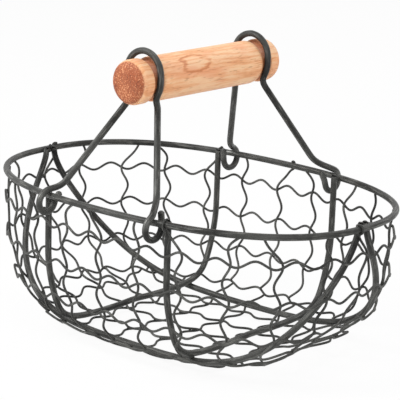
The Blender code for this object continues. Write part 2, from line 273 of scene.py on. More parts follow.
class Shell:
    """The hoops' shell, read by direction and by depth along its wall from the rim."""

    MERIDIANS = 480
    MERIDIAN_POINTS = 301
    GIRTH_POINTS = 240
    SLOPE_REACH = 1.3 * MM

    def __init__(self) -> None:
        """Surveys the shell's meridians."""
        lines = [self.meridian(2 * math.pi * index / self.MERIDIANS) for index in range(self.MERIDIANS)]
        self.lines = [(line, runs_along(line)) for line in lines]
        self.rims = runs_along(np.array([line[0] for line in lines + lines[:1]]))

    @staticmethod
    def wall_shape(turn: float) -> tuple[float, float]:
        """Gives the shape of the shell's wall in one direction.

        Args:
            turn: The direction in radians, measured on the unit shape.

        Returns:
            The flat bottom's share and the wall's exponent.
        """
        side = math.sin(turn) ** 2
        flat = SIZES.flat_end_share * (1 - side) + SIZES.flat_side_share * side
        return flat, SIZES.end_wall_exponent * (1 - side) + SIZES.side_wall_exponent * side

    @classmethod
    def height(cls, x: float, y: float) -> float:
        """Gives the shell's height above a plan point.

        Args:
            x: The plan point's x.
            y: The plan point's y.

        Returns:
            The height above the ground.
        """
        along, across = abs(x) / SIZES.hoop_half_length, abs(y) / SIZES.hoop_half_width
        power = SIZES.oval_exponent
        size = (along**power + across**power) ** (1 / power)
        flat, exponent = cls.wall_shape(math.atan2(across, along))
        rise = min(max((size - flat) / (1 - flat), 0), 1)
        return SIZES.floor_z + SIZES.depth * (1 - (1 - rise**exponent) ** (1 / exponent))

    @classmethod
    def meridian(cls, turn: float) -> np.ndarray:
        """Gives the shell's line in one direction.

        Args:
            turn: The direction in radians, measured on the unit shape.

        Returns:
            Points from the rim down to the middle of the bottom.
        """
        x, y = oval(turn, SIZES.hoop_half_length, SIZES.hoop_half_width)
        flat, exponent = cls.wall_shape(turn)
        angles = np.linspace(math.pi / 2, 0, cls.MERIDIAN_POINTS)
        size = flat + (1 - flat) * np.clip(np.sin(angles), 0, 1) ** (2 / exponent)
        rise = 1 - np.clip(np.cos(angles), 0, 1) ** (2 / exponent)
        line = np.column_stack([x * size, y * size, SIZES.floor_z + SIZES.depth * rise])
        return np.vstack([line, [0, 0, SIZES.floor_z]])

    def on_line(self, index: int, depth: float) -> np.ndarray:
        """Gives the point of one meridian at a depth along it."""
        line, runs = self.lines[index % self.MERIDIANS]
        return np.array([np.interp(depth, runs, line[:, axis]) for axis in range(3)])

    def point(self, share: float, depth: float) -> np.ndarray:
        """Gives a point of the shell.

        Args:
            share: Where it lies round the basket, as a share of the rim's length.
            depth: How far down the wall from the rim.

        Returns:
            The point.
        """
        place = float(np.interp((share % 1) * self.rims[-1], self.rims, np.arange(len(self.rims))))
        index = math.floor(place)
        first, second = self.on_line(index, depth), self.on_line(index + 1, depth)
        return first + (second - first) * (place - index)

    def girth(self, depth: float) -> np.ndarray:
        """Gives points all round the shell at one depth."""
        return np.array([self.point(index / self.GIRTH_POINTS, depth) for index in range(self.GIRTH_POINTS)])

    def outside(self, share: float, depth: float, out: float) -> np.ndarray:
        """Gives a point outside the shell's wall.

        Args:
            share: Where it lies round the basket, as a share of the rim's length.
            depth: How far down the wall from the rim.
            out: How far it lies out from the shell.

        Returns:
            The point.
        """
        aside = 1 / self.GIRTH_POINTS
        along = self.point(share + aside, depth) - self.point(share - aside, depth)
        above = max(depth - self.SLOPE_REACH, 0)
        normal = np.cross(self.point(share, depth + self.SLOPE_REACH) - self.point(share, above), along)
        return self.point(share, depth) + normal / np.linalg.norm(normal) * out

    @classmethod
    def below(cls, x: float, y: float, out: float) -> np.ndarray:
        """Gives a point below the shell's bottom.

        Args:
            x: The x of the shell's point that it belongs to.
            y: The y of that point.
            out: How far it lies out from the shell.

        Returns:
            The point.
        """
        reach = cls.SLOPE_REACH
        slope_x = (cls.height(x + reach, y) - cls.height(x - reach, y)) / (2 * reach)
        slope_y = (cls.height(x, y + reach) - cls.height(x, y - reach)) / (2 * reach)
        normal = np.array((slope_x, slope_y, -1.0))
        return np.array((x, y, cls.height(x, y))) + normal / np.linalg.norm(normal) * out


class Signal:
    """A value in a node tree, on which Python's operators add Math nodes."""

    def __init__(self, tree: bpy.types.NodeTree, socket: Socket) -> None:
        """Wraps one output socket of tree."""
        self.tree = tree
        self.socket = socket

    def _math(self, operation: str, *values: Any, clamp: bool = False) -> "Signal":
        """Adds one Math node.

        Args:
            operation: The Math node's operation.
            values: Its inputs in order, as signals or numbers.
            clamp: Whether the result is held between 0 and 1.

        Returns:
            The node's result.
        """
        bench = NodeBench(self.tree)
        inputs = dict(enumerate(values))
        return bench.signal(bench.out("ShaderNodeMath", inputs, operation=operation, use_clamp=clamp))

    def __add__(self, other: Any) -> "Signal":
        """Adds."""
        return self._math("ADD", self, other)

    __radd__ = __add__

    def __sub__(self, other: Any) -> "Signal":
        """Subtracts other."""
        return self._math("SUBTRACT", self, other)

    def __rsub__(self, other: Any) -> "Signal":
        """Subtracts from other."""
        return self._math("SUBTRACT", other, self)

    def __mul__(self, other: Any) -> "Signal":
        """Multiplies."""
        return self._math("MULTIPLY", self, other)

    __rmul__ = __mul__

    def __truediv__(self, other: Any) -> "Signal":
        """Divides by other."""
        return self._math("DIVIDE", self, other)

    def __pow__(self, other: Any) -> "Signal":
        """Raises to a power."""
        return self._math("POWER", self, other)

    def sine(self) -> "Signal":
        """Takes the sine."""
        return self._math("SINE", self)

    def size(self) -> "Signal":
        """Drops the sign."""
        return self._math("ABSOLUTE", self)

    def root(self) -> "Signal":
        """Takes the square root."""
        return self._math("SQRT", self)

    def held(self) -> "Signal":
        """Holds the value between 0 and 1."""
        return self._math("ADD", self, 0.0, clamp=True)

    def between(self, low: float, high: float) -> "Signal":
        """Climbs smoothly from 0 at low to 1 at high."""
        share = ((self - low) / (high - low)).held()
        return share * share * (3 - 2 * share)


class NodeBench:
    """A place to build one node tree with short calls."""

    def __init__(self, tree: bpy.types.NodeTree) -> None:
        """Takes the tree to build in."""
        self.tree = tree

    def feed(self, socket: Socket, value: Any) -> None:
        """Gives a socket its value.

        Args:
            socket: The socket.
            value: A signal or another socket to link, or a plain value to set.
        """
        value = value.socket if isinstance(value, Signal) else value
        if isinstance(value, Socket):
            self.tree.links.new(value, socket)
        else:
            socket.default_value = value

    def node(self, kind: str, inputs: Mapping[Any, Any] | None = None, **settings: Any) -> bpy.types.Node:
        """Adds one node.

        Args:
            kind: The node's type.
            inputs: Values, sockets or signals for its sockets, by name or number.
            settings: Its settings, which are set first.

        Returns:
            The new node.
        """
        node = self.tree.nodes.new(kind)
        for name, value in settings.items():
            setattr(node, name, value)
        for name, value in (inputs or {}).items():
            self.feed(node.inputs[name], value)
        return node

    def out(self, kind: str, inputs: Mapping[Any, Any] | None = None, **settings: Any) -> Socket:
        """Adds one node, as node does, and gives its first output."""
        return self.node(kind, inputs, **settings).outputs[0]

    def signal(self, socket: Socket) -> Signal:
        """Wraps a socket as a signal."""
        return Signal(self.tree, socket)


@dataclass(frozen=True)
class Figure:
    """One noise of a finish: its cells a millimetre, its finer layers and how it is drawn out."""

    scale: float
    detail: float
    roughness: float = 0.5
    stretch: Triple = (1, 1, 1)


class Finish(NodeBench):
    """One procedural material under construction, with Object coordinates in millimetres."""

    def __init__(self, name: str) -> None:
        """Makes the material with an empty shader.

        Args:
            name: The material's name.
        """
        self.material = bpy.data.materials.new(name)
        self.material.use_nodes = True
        super().__init__(self.material.node_tree)
        self.shader = self.tree.nodes["Principled BSDF"]
        where = self.node("ShaderNodeTexCoord").outputs["Object"]
        self.place = self.out("ShaderNodeVectorMath", {0: where, "Scale": 1 / MM}, operation="SCALE")

    def mapped(self, vector: Any, centre: Point = (0, 0, 0), turn: Point = (0, 0, 0),
               scale: Point = (1, 1, 1)) -> Socket:
        """Moves, turns and stretches a pattern's coordinates.

        Args:
            vector: The coordinates to change.
            centre: The pattern's new middle in millimetres.
            turn: The turn about X, Y and Z in radians.
            scale: How much finer the pattern gets along each axis.

        Returns:
            The new coordinates.
        """
        moved = self.out("ShaderNodeMapping", {0: vector, "Location": centre, "Rotation": turn},
                         vector_type="TEXTURE")
        return self.out("ShaderNodeMapping", {0: moved, "Scale": scale})

    def noise(self, figure: Figure, vector: Any = None) -> Signal:
        """Gives a noise value.

        Args:
            figure: The noise's sizes.
            vector: Its coordinates in millimetres, or None for the object's own.

        Returns:
            The value, mostly between 0.3 and 0.7.
        """
        vector = vector or self.place
        if figure.stretch != (1, 1, 1):
            vector = self.mapped(vector, scale=figure.stretch)
        node = self.node("ShaderNodeTexNoise", {"Vector": vector, "Scale": figure.scale,
                                                "Detail": figure.detail, "Roughness": figure.roughness})
        return self.signal(node.outputs["Fac"])

    def mark(self, name: str, part: str = "Fac") -> Signal:
        """Reads one of the piece's own attributes."""
        return self.signal(self.node("ShaderNodeAttribute", attribute_name=name).outputs[part])

    def parts(self, vector: Socket) -> list[Signal]:
        """Splits a vector into its three parts."""
        return [self.signal(part) for part in self.node("ShaderNodeSeparateXYZ", {0: vector}).outputs]

    def mix(self, share: Any, first: Any, second: Any) -> Socket:
        """Mixes two colours.

        Args:
            share: How much of the second shows, from 0 to 1.
            first: A socket or three numbers.
            second: The same.

        Returns:
            The mixed colour.
        """
        full = [colour if isinstance(colour, Socket) else (*colour, 1) for colour in (first, second)]
        node = self.node("ShaderNodeMix", {0: share, 6: full[0], 7: full[1]}, data_type="RGBA")
        return node.outputs[2]

    def bump(self, height: Signal, depth: float, before: Socket | None = None) -> Socket:
        """Makes a bump from a height of 0 to 1.

        Args:
            height: The height.
            depth: What a height of 1 stands for, in metres.
            before: The normal of a bump that this one adds to.

        Returns:
            The normal.
        """
        inputs: dict[str, Any] = {"Height": height, "Distance": depth, "Strength": 1.0}
        if before is not None:
            inputs["Normal"] = before
        return self.out("ShaderNodeBump", inputs)

    def dress(self, **sockets: Any) -> None:
        """Sets or links the shader's sockets, by names with underscores for spaces."""
        for name, value in sockets.items():
            self.feed(self.shader.inputs[name.replace("_", " ")], value)


@dataclass(frozen=True)
class CoatedSteel:
    """A dark grey coat on steel wire, with a cloudy tone that is partly painted reflection, lighter lines
    along it that are painted highlight, and rubbed places.
    """

    name: str
    dark: Colour = (0.007, 0.007, 0.0065)
    light: Colour = (0.086, 0.087, 0.081)
    highlight_streak: Colour = (0.175, 0.175, 0.163)
    rubbed: Colour = (0.17, 0.17, 0.16)
    roughness: float = 0.40
    gloss: float = 0.18
    grain_depth: float = 0.04 * MM
    broad: Figure = Figure(0.016, 2)
    cloud_and_reflection: Figure = Figure(0.10, 4, 0.6)
    speck: Figure = Figure(1.7, 3, 0.65)
    peel: Figure = Figure(0.9, 2)
    highlight_streaks: Figure = Figure(0.7, 3, 0.6, (1, 1, 0.10))

    def make(self) -> bpy.types.Material:
        """Builds the material.

        Returns:
            The finished material.
        """
        finish = Finish(self.name)
        cloud_and_reflection, speck = finish.noise(self.cloud_and_reflection), finish.noise(self.speck)
        highlight_streak = finish.noise(self.highlight_streaks, finish.mark("drawn", "Vector"))
        # The broad, cloudy tone from dark to light is partly the coat's uneven colour, partly painted
        # reflection that lightens or darkens whole lengths of wire.
        tone = (finish.noise(self.broad) * 1.7 + cloud_and_reflection * 1.1 - 0.93).held()
        colour = finish.mix(tone, self.dark, self.light)
        # Lighter lines along the wire are painted highlight, broken up as on a wrinkled coat.
        colour = finish.mix(highlight_streak.between(0.50, 0.68) * 0.75, colour, self.highlight_streak)
        colour = finish.mix(speck.between(0.52, 0.78) * 0.30, colour, self.light)
        worn = (finish.mark("rub") * 1.4 + speck * 0.9 - 0.95).held()
        colour = finish.mix(worn * 0.75, colour, self.rubbed)
        rough = self.roughness - 0.10 * worn + 0.16 * (cloud_and_reflection - 0.5) + 0.12 * (speck - 0.5)
        normal = finish.bump(finish.noise(self.peel), self.grain_depth * 2)
        normal = finish.bump(speck, self.grain_depth, normal)
        normal = finish.bump(highlight_streak, self.grain_depth * 3, normal)
        finish.dress(Base_Color=colour, Roughness=rough, Metallic=worn * 0.5, Normal=normal,
                     Specular_IOR_Level=self.gloss)
        return finish.material


@dataclass(frozen=True)
class TurnedBeech:
    """Oiled beech, turned about Y, with rings, fine fibres, flecks, one swirl of grain, and reddish brown in
    the grooves that is partly the wood and partly painted shade.
    """

    name: str
    centre: Point
    half_length: float
    swirl: Point
    pale: Colour = (0.98, 0.61, 0.35)
    middle: Colour = (0.90, 0.43, 0.20)
    deep: Colour = (0.66, 0.235, 0.085)
    blush: Colour = (0.86, 0.35, 0.18)
    # Reddish brown of the flecks, also used for the painted shade in the grooves.
    fleck_and_groove_shade: Colour = (0.45, 0.125, 0.040)
    end_dark: Colour = (0.17, 0.030, 0.010)
    end_middle: Colour = (0.36, 0.083, 0.027)
    end_pale: Colour = (0.74, 0.32, 0.155)
    gloss: float = 0.42
    fibre_depth: float = 0.11 * MM
    ring_pitch: float = 3.1
    pith: Point = (-34.0, 0.0, 22.0)
    pith_turn: Point = (math.radians(2.2), 0, math.radians(-3.0))
    swirl_reach: Point = (9.0, 19.0, 9.0)
    end_edge: tuple[float, float] = (3.6, 2.5)
    drift: Figure = Figure(0.06, 3, 0.55, (1, 0.16, 1))
    waver: Figure = Figure(0.15, 3, 0.6, (1, 0.30, 1))
    fibres: Figure = Figure(1.1, 5, 0.75, (1, 0.045, 1))
    broad: Figure = Figure(0.16, 3, 0.5, (1, 0.12, 1))
    flush: Figure = Figure(0.10, 2, 0.5, (1, 0.35, 1))
    dashes: Figure = Figure(0.95, 2, 0.45, (1, 0.13, 1))
    pores: Figure = Figure(0.95, 2)
    shade: Figure = Figure(0.07, 2)
    specks: Figure = Figure(1.25, 1)

    def make(self) -> bpy.types.Material:
        """Builds the material.

        Returns:
            The finished material.
        """
        finish = Finish(self.name)
        local = finish.mapped(finish.place, tuple(value / MM for value in self.centre))
        figures = self.waver, self.fibres, self.broad
        waver, fibres, broad = (finish.noise(figure, local) for figure in figures)
        swirl = self._closeness(finish, local, waver)
        across, _, up = finish.parts(finish.mapped(local, self.pith, self.pith_turn))
        from_pith = (across * across + up * up).root()
        ring_radius = from_pith + 8 * finish.noise(self.drift, local) + 4 * waver + 2.0 * swirl
        rings = ((ring_radius * (2 * math.pi / self.ring_pitch)).sine() * 0.5 + 0.5) ** 2.6
        loop = swirl.between(0.12, 0.30) * (1 - swirl.between(0.34, 0.58)) * broad.between(0.28, 0.50)
        tone = rings * 0.27 + fibres * 1.55 + broad * 1.10 + loop * 0.62 - swirl * 0.22 - 1.15
        colour = finish.mix(tone.between(0.02, 0.50), self.pale, self.middle)
        flushed = finish.noise(self.flush, local).between(0.48, 0.70)
        colour = finish.mix(flushed * 0.50, colour, self.blush)
        colour = finish.mix(tone.between(0.42, 0.90), colour, self.deep)
        dashes = finish.noise(self.dashes, local).between(0.60, 0.72)
        colour = finish.mix(dashes * 0.45, colour, self.fleck_and_groove_shade)
        edge_low, edge_high = (self.half_length / MM - edge for edge in self.end_edge)
        end = finish.parts(local)[1].size().between(edge_low, edge_high)
        colour = finish.mix(end * 0.94, colour, self._end_colour(finish, local))
        # Darker reddish brown in the grooves: partly the wood of the groove walls, partly painted shade where
        # the loops sit.
        groove_shade = finish.mark("groove").between(0.05, 0.75)
        colour = finish.mix((groove_shade * (0.50 + 0.7 * fibres)).held(), colour, self.fleck_and_groove_shade)
        rough = 0.50 + 0.14 * (fibres - 0.5) + 0.14 * end + 0.10 * dashes
        finish.dress(Base_Color=colour, Roughness=rough, Normal=finish.bump(fibres, self.fibre_depth),
                     Specular_IOR_Level=self.gloss)
        return finish.material

    def _end_colour(self, finish: Finish, local: Socket) -> Socket:
        """Gives the end grain's colour, with dark and pale pores.

        Args:
            finish: The material under construction.
            local: Coordinates about the grip's middle, in millimetres.

        Returns:
            The colour.
        """
        shade = finish.noise(self.shade, local)
        pores = finish.noise(self.pores, local) + 0.6 * shade
        colour = finish.mix(pores.between(0.55, 0.85), self.end_dark, self.end_middle)
        specks = finish.noise(self.specks, local) + 0.5 * shade
        return finish.mix(specks.between(0.80, 0.96), colour, self.end_pale)

    def _closeness(self, finish: Finish, local: Socket, waver: Signal) -> Signal:
        """Gives 1 at the swirl's middle, falling unevenly to 0 about its reach from there.

        Args:
            finish: The material under construction.
            local: Coordinates about the grip's middle, in millimetres.
            waver: The noise that makes it uneven.

        Returns:
            The closeness.
        """
        place = tuple((value - middle) / MM for value, middle in zip(self.swirl, self.centre))
        sized = finish.mapped(local, place, scale=tuple(1 / length for length in self.swirl_reach))
        gone = finish.node("ShaderNodeVectorMath", {0: sized}, operation="LENGTH")
        return (1.45 - finish.signal(gone.outputs["Value"]) - 0.9 * waver).held()


class PieceTree(NodeBench):
    """A Geometry Nodes tree with named inputs, which grows pieces from routes or points."""

    def __init__(self, name: str, **inputs: str) -> None:
        """Makes the tree.

        Args:
            name: The tree's name.
            inputs: The kind of socket of each of its inputs, by the input's name.
        """
        super().__init__(bpy.data.node_groups.new(name, "GeometryNodeTree"))
        face = self.tree.interface
        for title, kind in inputs.items():
            face.new_socket(title, in_out="INPUT", socket_type=f"NodeSocket{kind}")
        face.new_socket("Piece", in_out="OUTPUT", socket_type="NodeSocketGeometry")
        self.given = self.node("NodeGroupInput").outputs

    def attribute(self, name: str, kind: str = "FLOAT_VECTOR") -> Socket:
        """Reads an attribute of the route or the points."""
        reader = self.node("GeometryNodeInputNamedAttribute", {"Name": name}, data_type=kind)
        return reader.outputs["Attribute"]

    def coat(self, shape: Socket) -> None:
        """Ends the tree with the shape made real and coated.

        Args:
            shape: The shape that the tree has grown.
        """
        real = self.out("GeometryNodeRealizeInstances", {0: shape})
        coated = self.out("GeometryNodeSetMaterial", {"Geometry": real, "Material": self.given["Coat"]})
        self.node("NodeGroupOutput", {0: coated})

    def grow(self, start: bpy.types.Mesh, **inputs: Any) -> bpy.types.Object:
        """Makes one piece.

        Args:
            start: The route or the points, named like the piece.
            inputs: Values for the tree's inputs, by name.

        Returns:
            The piece, with the shape that the tree made as its plain mesh.
        """
        piece = placed(start.name, start)
        live = piece.modifiers.new("growth", "NODES")
        live.node_group = self.tree
        for item in self.tree.interface.items_tree:
            if item.name in inputs:
                live[item.identifier] = inputs[item.name]
        graph = bpy.context.evaluated_depsgraph_get()
        mesh = bpy.data.meshes.new_from_object(piece.evaluated_get(graph), depsgraph=graph)
        mesh.name = piece.name
        piece.modifiers.clear()
        piece.data = mesh
        mesh.shade_smooth()
        return piece


class WireTree(PieceTree):
    """The tree that turns a route of edges into a round wire with closed ends."""

    def __init__(self) -> None:
        """Builds the tree."""
        super().__init__("wire along a route", Route="Geometry", Radius="Float", Sides="Int", Coat="Material")
        route = self.out("GeometryNodeMeshToCurve", {"Mesh": self.given["Route"]})
        section = self.out("GeometryNodeCurvePrimitiveCircle", {
            "Resolution": self.given["Sides"], "Radius": self.given["Radius"]}, mode="RADIUS")
        self.coat(self.out("GeometryNodeCurveToMesh", {
            "Curve": route, "Profile Curve": section, "Scale": self.attribute("girth", "FLOAT"),
            "Fill Caps": True}))


class BeadTree(PieceTree):
    """The tree that sets a small uneven weld bead on every point of a mesh."""

    LEAST = (0.86, 0.86, 0.92)
    MOST = (1.14, 1.14, 1.08)

    def __init__(self) -> None:
        """Builds the tree, in which the beads' unevenness comes from one seed."""
        super().__init__("weld beads on points", Points="Geometry", Seed="Int", Coat="Material")
        ball = self.out("GeometryNodeMeshIcoSphere", {"Radius": 1.0, "Subdivisions": 3})
        uneven = self.out("FunctionNodeRandomValue", {
            0: self.LEAST, 1: self.MOST, "Seed": self.given["Seed"]}, data_type="FLOAT_VECTOR")
        size = self.out("ShaderNodeVectorMath", {0: self.attribute("size"), 1: uneven}, operation="MULTIPLY")
        turn = self.out("FunctionNodeAlignRotationToVector", {"Vector": self.attribute("facing")}, axis="Z")
        self.coat(self.out("GeometryNodeInstanceOnPoints", {
            "Points": self.given["Points"], "Instance": ball, "Rotation": turn, "Scale": size}))


@dataclass
class Wire:
    """One length of wire, from its route to its finished piece."""

    name: str
    route: np.ndarray
    radius: float
    slot: Slot
    body: Body
    stands_for: tuple[str, ...]
    closed: bool = False
    sides: int = 20
    rub: np.ndarray | None = None
    end_round: float = 0.45

    def dress_ends(self) -> np.ndarray:
        """Adds a point by each open end, which rounds it off.

        Returns:
            The wire's thickness at each point of its route, less at its open ends.
        """
        line = self.route
        if self.rub is None:
            self.rub = np.zeros(len(line))
        if self.closed:
            return np.ones(len(line))
        back = self.radius * self.end_round
        first = line[0] + (line[1] - line[0]) / np.linalg.norm(line[1] - line[0]) * back
        last = line[-1] + (line[-2] - line[-1]) / np.linalg.norm(line[-2] - line[-1]) * back
        self.route = np.vstack([line[:1], [first], line[1:-1], [last], line[-1:]])
        self.rub = np.concatenate([[0.0], self.rub, [0.0]])
        girths = np.ones(len(self.route))
        girths[0] = girths[-1] = 1 - self.end_round
        return girths


class Workshop:
    """Makes pieces from routes and meshes and hands them to the frame."""

    def __init__(self, coats: Mapping[Slot, bpy.types.Material]) -> None:
        """Takes the finishes and builds the node trees.

        Args:
            coats: The material of each slot.
        """
        self.coats = dict(coats)
        self.wire_tree = WireTree()
        self.bead_tree = BeadTree()
        self.made: list[str] = []

    def wire(self, wire: Wire) -> None:
        """Makes one wire as a finished piece.

        Args:
            wire: The wire's route, size, finish and place in the frame.
        """
        girths = wire.dress_ends()
        count = len(wire.route)
        edges = [(index, (index + 1) % count) for index in range(count if wire.closed else count - 1)]
        mesh = bpy.data.meshes.new(wire.name)
        mesh.from_pydata(wire.route.tolist(), edges, [])
        self.write_attribute(mesh, "girth", girths)
        self.write_attribute(mesh, "rub", wire.rub)
        piece = self.wire_tree.grow(mesh, Radius=wire.radius, Sides=wire.sides, Coat=self.coats[wire.slot])
        self._mark_drawn(piece.data, wire)
        self.hand_over(piece, wire.body, wire.stands_for)

    def _mark_drawn(self, mesh: bpy.types.Mesh, wire: Wire) -> None:
        """Writes where each point lies round and along its wire, in millimetres, for the lines of painted
        highlight.

        Args:
            mesh: The finished wire's mesh.
            wire: The wire, whose name shifts its lines of painted highlight.
        """
        places = np.zeros(len(mesh.vertices) * 3, np.float32)
        mesh.vertices.foreach_get("co", places)
        centres = places.reshape(-1, wire.sides, 3).mean(axis=1)
        turns = np.linspace(0, 2 * math.pi, wire.sides, endpoint=False)
        around = np.tile(np.column_stack([np.cos(turns), np.sin(turns)]), (len(centres), 1)) * wire.radius
        along = np.repeat(runs_along(centres), wire.sides)[:, None] + sum(map(ord, wire.name)) * MM
        self.write_attribute(mesh, "drawn", np.hstack([around, along]) / MM)

    def beads(self, name: str, places: Sequence[Bead], seed: int, slot: Slot) -> None:
        """Makes weld beads on the basket as one piece.

        Args:
            name: The piece's name.
            places: For each bead its middle, the direction it faces and its three half sizes.
            seed: The seed of its unevenness.
            slot: Its finish.
        """
        middles, facings, sizes = (np.array(column) for column in zip(*places))
        mesh = bpy.data.meshes.new(name)
        mesh.from_pydata(middles.tolist(), [], [])
        self.write_attribute(mesh, "facing", facings)
        self.write_attribute(mesh, "size", sizes)
        self.hand_over(self.bead_tree.grow(mesh, Seed=seed, Coat=self.coats[slot]), Body.BASKET)

    @staticmethod
    def write_attribute(mesh: bpy.types.Mesh, name: str, values: np.ndarray) -> None:
        """Writes an attribute of a mesh.

        Args:
            mesh: The mesh.
            name: The attribute's name.
            values: A number or a vector for each of the mesh's points.
        """
        kind, key = ("FLOAT", "value") if values.ndim == 1 else ("FLOAT_VECTOR", "vector")
        layer = mesh.attributes.new(name, kind, "POINT")
        layer.data.foreach_set(key, np.ascontiguousarray(values, np.float32).reshape(-1))

    def hand_over(self, piece: bpy.types.Object, body: Body,
                  stands_for: Sequence[str] = ()) -> None:
        """Hands a finished piece to the frame.

        Args:
            piece: The piece.
            body: The body that it rides on.
            stands_for: The CAD nodes that it replaces.
        """
        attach(piece, body.value)
        if stands_for:
            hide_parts(*stands_for)
        self.made.append(piece.name)
        LOG.info("%s on %s, %d faces", piece.name, body.value, len(piece.data.polygons))


@dataclass
class RimAndHoops:
    """The heavy wires: the oval rim, two cross hoops and two long hoops, with their welds."""

    cross_x: float = 53.5 * MM
    long_half_width: float = 62.0 * MM
    long_end_exponent: float = 4.1
    long_side_exponent: float = 2.05
    stub: float = 0.5 * MM
    stub_shares: Triple = (1, 0.66, 0.33)
    low_share: float = 0.15
    high_share: float = 0.60
    step: float = 1.6 * MM
    rim_points: int = 1440
    hoop_points: int = 721
    rub_reach: float = 4.0 * MM
    weld_reach: float = 1.25
    bead: Triple = (1.7 * MM, 1.7 * MM, 1.1 * MM)
    seed: int = 11
    routes: dict[str, np.ndarray] = field(default_factory=dict)

    def _swing(self) -> np.ndarray:
        """Gives shares of a hoop's reach from end to end, finer at its ends."""
        return np.sin(np.linspace(-math.pi / 2, math.pi / 2, self.hoop_points))

    def cross_route(self, x: float) -> np.ndarray:
        """Gives the route of a hoop across the basket.

        Args:
            x: Where it crosses.

        Returns:
            The route, which lies above the long hoops on the bottom.
        """
        reach = SIZES.hoop_half_width * oval_reach(x / SIZES.hoop_half_length)
        line = even_points([(x, y, Shell.height(x, y)) for y in reach * self._swing()], self.step)
        before, after = np.roll(line, 1, axis=0), np.roll(line, -1, axis=0)
        before[0], after[-1] = line[0], line[-1]
        inward = np.cross(np.array((1.0, 0, 0)), after - before)
        inward /= np.linalg.norm(inward, axis=1)[:, None]
        heights = (line[:, 2] - SIZES.floor_z) / SIZES.depth
        lift = [SIZES.weld_step * (1 - smooth_share(height, self.low_share, self.high_share))
                for height in heights]
        return self.with_stubs(line + inward * np.array(lift)[:, None])

    def long_route(self, side: Side) -> np.ndarray:
        """Gives the route of a hoop along the basket.

        Args:
            side: The long side that it belongs to.

        Returns:
            The route, which meets the other hoop's at both ends.
        """
        seam = SIZES.frame_radius + SIZES.gap / 2
        end = SIZES.hoop_half_length * oval_reach(seam / SIZES.hoop_half_width)
        line = []
        for along in self._swing():
            spread = max(1 - abs(along) ** self.long_end_exponent, 0) ** (1 / self.long_side_exponent)
            y = seam + (self.long_half_width - seam) * spread
            line.append((along * end, side.value * y, Shell.height(along * end, y)))
        return self.with_stubs(even_points(line, self.step))

    def with_stubs(self, line: np.ndarray) -> np.ndarray:
        """Lets both of a hoop's ends stand above the rim.

        Args:
            line: The hoop's route up to the rim.

        Returns:
            The route with a short stub at each end.
        """
        top = np.array((0, 0, SIZES.frame_radius + self.stub))
        return np.vstack([[line[0] + top * share for share in self.stub_shares], line,
                          [line[-1] + top * share for share in self.stub_shares[::-1]]])

    def build(self, shop: Workshop) -> None:
        """Makes the wires and their weld beads.

        Args:
            shop: The workshop that makes them.
        """
        self.routes = {
            "rim": even_points(rim_line(self.rim_points), self.step, True),
            "cross_hoop_left": self.cross_route(-self.cross_x),
            "cross_hoop_right": self.cross_route(self.cross_x),
            "long_hoop_front": self.long_route(Side.FRONT),
            "long_hoop_back": self.long_route(Side.BACK),
        }
        for node, route in self.routes.items():
            is_rim = node == "rim"
            shop.wire(Wire(f"{node}_wire", route, SIZES.frame_radius, Slot.FRAME, Body.BASKET, (node,),
                           closed=is_rim, rub=self._rub(route) if is_rim else None))
        places = []
        for first, second in combinations(self.routes.values(), 2):
            places += crossing(second, first, SIZES.weld_step * self.weld_reach, self.bead)
        shop.beads("frame_welds", places, self.seed, Slot.FRAME)

    def _rub(self, route: np.ndarray) -> np.ndarray:
        """Marks where the bails' eyes rub the rim.

        Args:
            route: The rim's route.

        Returns:
            How rubbed each of its points is, from 0 to 1.
        """
        from_hook = np.abs(route[:, 0]) - SIZES.hook_x
        on_side = np.abs(route[:, 1]) > SIZES.rim_half_width / 2
        return np.exp(-(from_hook / self.rub_reach) ** 2) * on_side


